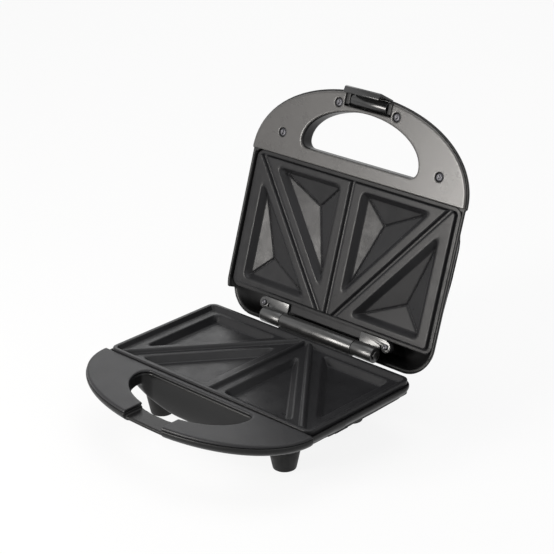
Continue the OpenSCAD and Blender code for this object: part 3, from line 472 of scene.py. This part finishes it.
def half_ellipse(x, y, a, b, y0=0.0, full=2.0):
    """Ellipse in front of y0, straight sides behind it. A fuller one bulges at its corners."""
    px = np.maximum(np.abs(x) / a, 1e-6)
    py = np.maximum(np.maximum(y0 - y, 0) / b, 1e-6)
    k = (px ** full + py ** full) ** (1 / full)
    slope = k ** (1 - full) * np.hypot(px ** (full - 1) / a, py ** (full - 1) / b)
    return np.where(y < y0, (k - 1) / np.maximum(slope, 1e-6), np.abs(x) - a)


def finger_hole(x, y, hole):
    """Half an ellipse in front, and a straight edge with round corners near the plates."""
    w, near, far = hole
    r = 7
    axis = -near - r
    front = half_ellipse(x, y, w, far - near - r, axis)
    qx, qy = np.abs(x) - w + r, y + near + r
    behind = (np.minimum(np.maximum(qx, qy), 0)
              + np.hypot(np.maximum(qx, 0), np.maximum(qy, 0)) - r)
    return np.where(y < axis, front, behind)


def bezier(points, n=60):
    p = np.array(points, float)
    t = np.linspace(0, 1, n)[:, None]
    u = 1 - t
    return u ** 3 * p[0] + 3 * u * u * t * p[1] + 3 * u * t * t * p[2] + t ** 3 * p[3]


class Profile:
    """Inset of a casing's side as a function of depth, with its slope. The side is upright
    from the lead down to the first point of the curve."""

    def __init__(self, points, lead):
        c = np.vstack([[0, lead], bezier(points)])
        self.inset = c[:, 0]
        self.depth = np.maximum.accumulate(c[:, 1] + np.arange(len(c)) * 1e-5)
        self.slope = np.clip(np.gradient(self.inset, self.depth), 0, 60)

    def at(self, d):
        return (np.interp(d, self.depth, self.inset), np.interp(d, self.depth, self.slope))


def net(f, low, high, step):
    """Fine mesh of a field's zero surface, with its points drawn onto that surface."""
    axes = [np.arange(low[k] - step * 0.5, high[k] + step * 1.5, step) for k in range(3)]
    v = f(*np.meshgrid(*axes, indexing="ij", sparse=False))
    inside = v < 0
    n = np.array(v.shape)
    # One point in each cell that the surface crosses, amid the crossings of its edges
    corners = [(a, b, c) for a in (0, 1) for b in (0, 1) for c in (0, 1)]
    part = [inside[a:n[0] - 1 + a, b:n[1] - 1 + b, c:n[2] - 1 + c] for a, b, c in corners]
    cells = np.argwhere(np.logical_or.reduce(part) & ~np.logical_and.reduce(part))
    ids = -np.ones(n - 1, dtype=np.int64)
    ids[tuple(cells.T)] = np.arange(len(cells))
    vals = np.stack([v[cells[:, 0] + a, cells[:, 1] + b, cells[:, 2] + c]
                     for a, b, c in corners], 1)
    total, count = np.zeros((len(cells), 3)), np.zeros(len(cells))
    for p in range(8):
        for q in range(p + 1, 8):
            cp, cq = np.array(corners[p]), np.array(corners[q])
            if np.abs(cp - cq).sum() != 1:
                continue
            cross = (vals[:, p] < 0) != (vals[:, q] < 0)
            t = vals[:, p] / np.where(cross, vals[:, p] - vals[:, q], 1)
            total[cross] += (cp + t[:, None] * (cq - cp))[cross]
            count += cross
    pts = cells + total / count[:, None]
    pts = pts * step + np.array([a[0] for a in axes])
    # Three short steps along the slope bring each point to the surface
    h = 0.04
    for _ in range(3):
        x, y, z = pts.T
        g = np.stack([f(x + h, y, z) - f(x - h, y, z), f(x, y + h, z) - f(x, y - h, z),
                      f(x, y, z + h) - f(x, y, z - h)], 1) / (2 * h)
        g2 = np.maximum((g * g).sum(1), 0.05)
        move = -(f(x, y, z) / g2)[:, None] * g
        far = np.maximum(np.sqrt((move * move).sum(1)) / (step * 0.45), 1)
        pts = pts + move / far[:, None] * 0.8
    # One face round each grid edge that goes from inside to outside
    faces = []
    for k in range(3):
        a, b = [(1, 2), (2, 0), (0, 1)][k]
        lo = [slice(None)] * 3
        hi = [slice(None)] * 3
        lo[k], hi[k] = slice(0, n[k] - 1), slice(1, n[k])
        s0, s1 = inside[tuple(lo)], inside[tuple(hi)]
        e = np.argwhere(s0 != s1)
        e = e[(e[:, a] > 0) & (e[:, b] > 0) & (e[:, a] < n[a] - 1) & (e[:, b] < n[b] - 1)]
        out = s0[tuple(e.T)]
        ua, ub = np.zeros(3, int), np.zeros(3, int)
        ua[a], ub[b] = 1, 1
        quad = np.stack([ids[tuple((e - m).T)] for m in (ua * 0, ua, ua + ub, ub)], 1)
        quad[~out] = quad[~out][:, ::-1]
        faces.append(quad)
    return pts, np.vstack(faces)


def field_piece(name, node, place, f, low, high, step):
    """Meshes a field between two corners, in steps, as the piece that a solid gets."""
    pts, faces = net(f, low, high, step)
    if place.determinant() < 0:
        faces = faces[:, ::-1]
    m = np.array(place)
    pts = pts @ m[:3, :3].T + m[:3, 3]
    me = bpy.data.meshes.new(name)
    me.from_pydata(pts.tolist(), [], faces.tolist())
    me.validate()
    obj = add_object(name, me)
    for p in me.polygons:
        p.use_smooth = True
    finish_piece(obj, node)


# ------------------------------------------------------------------ casings
# form: the grip's half width, its reach in front of the plates, and how full it is
# side: half width beside the plates, where the casing is narrower than the grip
# grip, body: how the sides of the grip and of the deep part draw in with depth
# rear: the rear wall. rear_r, front_r: corner radii of the deep part, and what they and its
# front wall gain per millimetre of inset (rear_grow, front_grow, lean)
# blend: how softly the grip flows into the deep part
Casing = namedtuple("Casing", "form side grip body grip_depth depth rim rear "
                              "rear_r rear_grow front_r front_grow lean blend")
BASE = Casing(
    form=(114.2, 67.6, 2.04), side=112.4,
    grip=Profile([[0, 5.6], [0, 8.6], [3.5, 13.4], [13, 13.4]], 0),
    body=Profile([[0, 5.6], [0, 11.6], [22, 30], [60, 34.5]], 0),
    grip_depth=13.4, depth=34.5, rim=4, rear=123.5,
    rear_r=15, rear_grow=0.5, front_r=45, front_grow=-0.3, lean=0.12, blend=3.0)
LID = Casing(
    form=(114.4, 68.6, 2.12), side=112.9,
    grip=Profile([[0, 3], [0, 7.2], [10, 15.8], [22, 15.8]], -2),
    body=Profile([[0, 3], [0, 9.2], [20, 30], [64, 35]], -2),
    grip_depth=15.8, depth=35.0, rim=3, rear=141.5,
    rear_r=28, rear_grow=-0.5, front_r=45, front_grow=-0.4, lean=0.45, blend=5.0)

# Finger holes: half width, near edge and far edge in front of the plates
BASE_HOLE, LID_HOLE = (60.0, 5.5, 48.8), (61.6, 12.0, 51.7)

WALL = 2.6
BODY_FRONT = -10.0
# The rear wall stays upright until the sides are drawn in this far
UPRIGHT_REAR = 32.0
# Gap round a plate in its casing
PLATE_GAP = 0.4

GRIP_SCREWS = [(sx * px, py) for px, py in ((83.2, -19.2), (30.4, -55.8)) for sx in (-1, 1)]
CENTRE_POSTS = [(0, 17), (0, 103)]
SIDE_POSTS = [(-101.25, 60), (101.25, 60)]
# Screw posts: places, radius and top of the hole, radius and top of the wall round it
BASE_POSTS = [(GRIP_SCREWS, 3.9, 11, 5.5, 8.6), (CENTRE_POSTS, 4.0, 27, 6.4, 24.1),
              (SIDE_POSTS, 3.8, 13.9, 5.4, 11.6)]
LID_POSTS = [(CENTRE_POSTS, 4.0, 25.9, 6.4, 23), (SIDE_POSTS, 3.8, 12.8, 5.4, 10.5)]
LID_SCREW_BOSS_R, LID_SCREW_BOSS_TOP = 3.8, 4.1

FEET = [(-68, 18), (68, 18), (-55, 112), (55, 112)]
FOOT_BOSS_R, FOOT_BOSS_TOP, FOOT_BOSS_END = 13.1, 20, 123.0
GLAND_X, GLAND_DROP, GLAND_R, GLAND_FROM = -61, 20.5, 5.05, 115
LENS_X, LENS_Y, LENS_R = 14, 45, 4.1

# Notch in the base under the latch, with the nose of its keep
NOTCH_HALF, NOTCH_BACK = 20, -38
KEEP_NOSE, KEEP_ROOT, KEEP_TOP, KEEP_UNDER = -65.1, -60.9, 6.5, 9
# Slot in the lid for the latch, longer near the parting plane, and the ears for its pin
SLOT_HALF, SLOT_BACK, SLOT_NECK, SLOT_NECK_DEPTH = 19.5, -58.5, -54.7, 12
EAR_FROM, EAR_TO, EAR_FRONT, EAR_BACK, EAR_FACE, EAR_DEPTH = 19.3, 24.1, -65.5, -56, 1.8, 14
# Behind the plate the lid's rim lies farther from the parting plane, to clear the hinge
LID_REAR_FROM, LID_REAR_RIM = 123, 8.8


def plate_shape(x, y, inset):
    r = max(PLATE_CORNER - inset, 1)
    return corner_box(x, y, PLATE_W / 2 - inset, inset, PLATE_D - inset, r, r)


def outer_form(x, y, d, c):
    """Outside of a casing, without its rim plane. The grip flows into the deep part below
    the rim, and ends in a small step beside the front edge of the plate."""
    half_w, reach, full = c.form
    i, s = c.grip.at(d)
    step_y, step_round = 0.4, 1.2
    beside = np.maximum(-y, y - (BODY_FRONT + c.front_r + 3))
    g = half_ellipse(x, y, half_w - i, reach - i, 0, full)
    g = smin(smax(g, y - step_y, step_round), np.maximum(np.abs(x) - c.side + i, beside), 0.4)
    g = np.maximum(g / np.sqrt(1 + s * s), d - c.grip_depth)
    i, s = c.body.at(d)
    b = corner_box(x, y, c.side - i, BODY_FRONT + i * c.lean,
                   c.rear - np.maximum(i - UPRIGHT_REAR, 0),
                   np.maximum(c.front_r + i * c.front_grow, 10),
                   np.maximum(c.rear_r + i * c.rear_grow, 3)) / np.sqrt(1 + s * s)
    b = np.maximum(b, d - c.depth)
    blend_from, blend_over = 6, 7
    return smin(g, b, c.blend * np.clip((d - blend_from) / blend_over, 0.01, 1))


def sink_posts(x, y, d, solid, hollow, posts):
    """Sinks the screw holes into a casing and keeps a wall round each of them."""
    for places, hole_r, hole_top, wall_r, wall_top in posts:
        for px, py in places:
            solid = smax(solid, -post(x, y, d, px, py, hole_r, hole_top, FAR), 0.5)
            hollow = np.maximum(hollow, -post(x, y, d, px, py, wall_r, wall_top, FAR))
    return solid, hollow


def base_casing(x, y, d):
    out = outer_form(x, y, d, BASE)
    hole = finger_hole(x, y, BASE_HOLE)
    half = NOTCH_HALF
    notch = np.minimum(np.minimum(box(x, y, d, -half, half, -FAR, KEEP_NOSE, ABOVE, FAR),
                                  box(x, y, d, -half, half, -FAR, KEEP_ROOT, KEEP_UNDER, FAR)),
                       box(x, y, d, -half, half, -FAR, NOTCH_BACK, ABOVE, KEEP_TOP))
    hollow = np.maximum(out + WALL, np.maximum(WALL - hole, WALL - notch))
    solid = smax(out, BASE.rim - d, 0.9)
    solid = smax(solid, -hole, 2.2)
    for px, py in FEET:
        boss = post(x, y, d, px, py, FOOT_BOSS_R, FOOT_BOSS_TOP, BASE.depth)
        solid = smin(solid, np.maximum(boss, y - FOOT_BOSS_END), 1.6)
    solid, hollow = sink_posts(x, y, d, solid, hollow, BASE_POSTS)
    solid = smax(solid, -hollow, 0.5)
    gland = np.maximum(np.hypot(x - GLAND_X, d - GLAND_DROP) - GLAND_R, GLAND_FROM - y)
    solid = np.maximum(solid, -gland)
    skirt_depth = 12.4
    solid = smax(solid, -np.maximum(plate_shape(x, y, -PLATE_GAP), d - skirt_depth), 0.3)
    return smax(solid, -notch, 0.7)


def lid_casing(x, y, d):
    out = outer_form(x, y, d, LID)
    hole = finger_hole(x, y, LID_HOLE)
    half = SLOT_HALF
    slot = np.minimum(box(x, y, d, -half, half, -FAR, SLOT_BACK, ABOVE, FAR),
                      box(x, y, d, -half, half, -FAR, SLOT_NECK, ABOVE, SLOT_NECK_DEPTH))
    hollow = np.maximum(out + WALL, np.maximum(WALL - hole, WALL - slot))
    solid = smax(out, LID.rim - d, 0.9)
    solid = smax(solid, -hole, 1.6)
    ears = np.maximum(box(np.abs(x), y, d, EAR_FROM, EAR_TO, EAR_FRONT, EAR_BACK, EAR_FACE,
                          EAR_DEPTH), out)
    solid, hollow = sink_posts(x, y, d, solid, hollow, LID_POSTS)
    for px, py in GRIP_SCREWS:
        boss = post(x, y, d, px, py, LID_SCREW_BOSS_R, LID_SCREW_BOSS_TOP, FAR)
        hollow = np.maximum(hollow, -boss)
    solid = smax(solid, -hollow, 0.5)
    solid = smin(solid, ears, 0.5)
    solid = np.maximum(solid, LENS_R - np.hypot(np.abs(x) - LENS_X, y - LENS_Y))
    rear = box(x, y, d, -150, 150, LID_REAR_FROM, 170, ABOVE, LID_REAR_RIM)
    solid = smax(solid, -rear, 0.8)
    plate_back = 7.8
    solid = smax(solid, -np.maximum(plate_shape(x, y, -PLATE_GAP), d - plate_back), 0.3)
    return smax(solid, -slot, 0.7)


field_piece("base_casing", "base_shell", DOWN_AT, base_casing,
            (-114.6, -69.2, 3.8), (114.6, 123.7, 34.7), 1.0)
field_piece("lid_casing", "lid_shell", LID_AT, lid_casing,
            (-114.4, -68.6, 1.6), (114.4, 141.7, 35.2), 1.0)


# ------------------------------------------------------------------ grip covers
COVER_END, COVER_SCREW_R, COVER_SINK, COVER_BORE_R = -0.4, 3.9, 2.5, 2.05


def cover(x, y, d, form, hole, face, under, inset, hole_edge):
    """Cover of a grip, from its face down to its underside, inset from the grip's outline."""
    half_w, reach, full = form
    solid = smax(half_ellipse(x, y, half_w - inset, reach - inset, 0, full), face - d, 2.0)
    solid = np.maximum(solid, d - under)
    solid = smax(solid, y - COVER_END, 0.6)
    return smax(solid, -finger_hole(x, y, hole), hole_edge)


def base_cover(x, y, d):
    s = cover(x, y, d, BASE.form, BASE_HOLE, face=1.5, under=3.9, inset=0.6, hole_edge=2.0)
    notch = box(x, y, d, -NOTCH_HALF, NOTCH_HALF, -FAR, NOTCH_BACK, ABOVE, FAR)
    return smax(s, -notch, 0.7)


def lid_cover(x, y, d):
    s = cover(x, y, d, LID.form, LID_HOLE, face=1.2, under=2.9, inset=1.5, hole_edge=1.4)
    latch_half, latch_back = 24.5, -54.6
    s = smax(s, -box(x, y, d, -latch_half, latch_half, -FAR, latch_back, ABOVE, FAR), 0.6)
    for px, py in GRIP_SCREWS:
        r = np.hypot(x - px, y - py)
        s = smax(s, -np.maximum(r - COVER_SCREW_R, d - COVER_SINK), 0.5)
        s = np.maximum(s, COVER_BORE_R - r)
    return s


field_piece("base_grip_cover", "base_handle_cover", DOWN_AT, base_cover,
            (-114.2, -68.6, 1.3), (114.2, -0.2, 4.1), 0.8)
field_piece("lid_grip_cover", "lid_handle_cover", LID_AT, lid_cover,
            (-113.4, -67.8, 1.0), (113.4, -0.2, 3.1), 0.8)

# ------------------------------------------------------------------ cooking plates
# Right half of a plate: the slanted bar's ends, the outer sides of the outer pocket, the
# sides of the inner pocket along the middle and the front, and the gap beside the bar
BAR_FRONT, BAR_REAR = np.array([100.5, 2.5]), np.array([7.0, 117.5])
OUTER_SIDE, OUTER_REAR = 94.5, 110.0
INNER_SIDE, INNER_FRONT = 12.0, 10.0
POCKET_GAP = 10.0


def pocket_corners():
    """Corners of the two pockets of the right half, on both sides of the slanted bar."""
    run = BAR_REAR - BAR_FRONT
    n = np.array([run[1], -run[0]]) / np.linalg.norm(run)
    outer, inner = n @ BAR_FRONT + POCKET_GAP, n @ BAR_FRONT - POCKET_GAP

    def x_at(side, y):
        return (side - n[1] * y) / n[0]

    def y_at(side, x):
        return (side - n[0] * x) / n[1]

    return (np.array([[OUTER_SIDE, y_at(outer, OUTER_SIDE)], [OUTER_SIDE, OUTER_REAR],
                      [x_at(outer, OUTER_REAR), OUTER_REAR]]),
            np.array([[INNER_SIDE, INNER_FRONT], [x_at(inner, INNER_FRONT), INNER_FRONT],
                      [INNER_SIDE, y_at(inner, INNER_SIDE)]]))


OUTER_POCKET, INNER_POCKET = pocket_corners()


def edge_distances(x, y, tri):
    """Distance from each side of a triangle, positive inside."""
    c = tri.mean(0)
    out = []
    for k in range(3):
        p, q = tri[k], tri[(k + 1) % 3]
        e = (q - p) / np.linalg.norm(q - p)
        n = np.array([-e[1], e[0]])
        if n @ (c - p) < 0:
            n = -n
        out.append((x - p[0]) * n[0] + (y - p[1]) * n[1])
    return out


def pocket_depth(x, y, tri):
    """Depth of a pocket: soft brim, steep wall, three facets with creases between them."""
    e = edge_distances(np.abs(x), y, tri)
    s = np.sort(np.stack(e), 0)
    hard = s[0]
    soft = smin(smin(e[0], e[1], 6.0), e[2], 6.0)
    mix = np.clip((hard - 0.5) / 3.5, 0, 1)
    t = soft + (hard - soft) * mix * mix * (3 - 2 * mix)
    around = sum(np.linalg.norm(tri[k] - tri[(k + 1) % 3]) for k in range(3))
    area = abs(np.cross(tri[1] - tri[0], tri[2] - tri[0])) / 2
    tip = 2 * area / around - 1.2
    depth = section(t, (-1.6, 0), (-0.9, 0.08), (-0.3, 0.45), (0.4, 1.4), (3.2, 5.0),
                    (3.8, 5.45), (tip, 9.0), (tip + 1, 9.1))
    crease_width, crease_depth = 0.75, 1.3
    crease = np.exp(-((s[1] - s[0]) / crease_width) ** 2) * np.clip((hard - 3.2) / 1.5, 0, 1)
    return depth + crease_depth * crease


def pockets(x, y):
    return np.maximum(pocket_depth(x, y, OUTER_POCKET), pocket_depth(x, y, INNER_POCKET))


def line_distance(x, y, p, q):
    d = q - p
    t = np.clip(((x - p[0]) * d[0] + (y - p[1]) * d[1]) / (d @ d), 0, 1)
    return np.hypot(x - p[0] - t * d[0], y - p[1] - t * d[1])


def bar_distance(x, y, front, rear, slant_front, slant_rear):
    """Distance from the middle bar and from the two slanted bars."""
    middle = line_distance(x, y, np.array([0, front]), np.array([0, rear]))
    return np.minimum(middle, line_distance(np.abs(x), y, slant_front, slant_rear))


def lower_plate(x, y, d):
    """Raised rim and raised bars, with the pockets between them. A skirt goes down."""
    rim = plate_shape(x, y, 0)
    h = section(-rim, (0, 0.25), (0.5, 0), (2.8, 0), (3.4, 0.12), (6.0, 3.3), (6.6, 3.5))
    h = h + pockets(x, y)
    bars = bar_distance(x, y, 4.5, 115.5, BAR_FRONT + [-3, 3], BAR_REAR + [0, -2])
    h = np.minimum(h, section(bars, (0, 0.55), (0.9, 0.7), (1.7, 1.25), (2.6, 3.2), (3.2, 9)))
    sheet, skirt, skirt_depth = 3.2, 3, 12
    shell = np.minimum(d - h - sheet, np.maximum(-plate_shape(x, y, skirt), d - skirt_depth))
    return np.maximum(smax(rim, (h - d) * 0.8, 0.5), shell)


def upper_plate(x, y, d):
    """Low rim and grooves, which take the lower plate's rim and bars, and the rear tab that
    the hinge ears hold."""
    rim = plate_shape(x, y, 0)
    land, low_rim = 2.4, 5.4
    h = section(-rim, (0, low_rim), (3.2, low_rim), (3.6, 5.2), (4.3, 2.65), (4.8, land))
    h = h + pockets(x, y)
    grooves = bar_distance(x, y, 3.0, 117.5, BAR_FRONT, BAR_REAR)
    h = np.maximum(h, land + section(grooves, (0, 2.6), (1.3, 2.4), (2.1, 0.5), (2.9, 0)))
    sheet, back = 3, 7.4
    body = np.maximum(smax(rim, (h - d) * 0.8, 0.5), d - np.maximum(h + sheet, back))
    tab_from, tab_back, ear_x, ear_y, ear_r, tab_depth = 117, 126.5, 66.7, 125, 4.8, 8.6
    tab = box(x, y, d, -ear_x, ear_x, tab_from, tab_back, low_rim, tab_depth)
    arm = box(np.abs(x), y, d, ear_x - ear_r, ear_x, tab_from, ear_y, low_rim, tab_depth)
    ear = post(np.abs(x), y, d, ear_x, ear_y, ear_r, low_rim, tab_depth)
    tab = smax(np.minimum(np.minimum(tab, arm), ear), low_rim - d, 0.4)
    return np.minimum(body, tab)


field_piece("lower_plate", "base_plate", DOWN_AT, lower_plate,
            (-109.1, -0.1, -0.1), (109.1, 120.1, 16), 0.75)
field_piece("upper_plate", "lid_plate", LID_AT, upper_plate,
            (-109.1, -0.1, 2.2), (109.1, 130, 14.8), 0.75)

# ------------------------------------------------------------------ small pieces
DRAWN = ("base_shell", "lid_shell", "base_plate", "lid_plate", "base_handle_cover",
         "lid_handle_cover")
for n in frame["nodes"]:
    if n not in DRAWN:
        dress(n, key="latch_plastic" if n == "latch" else None)
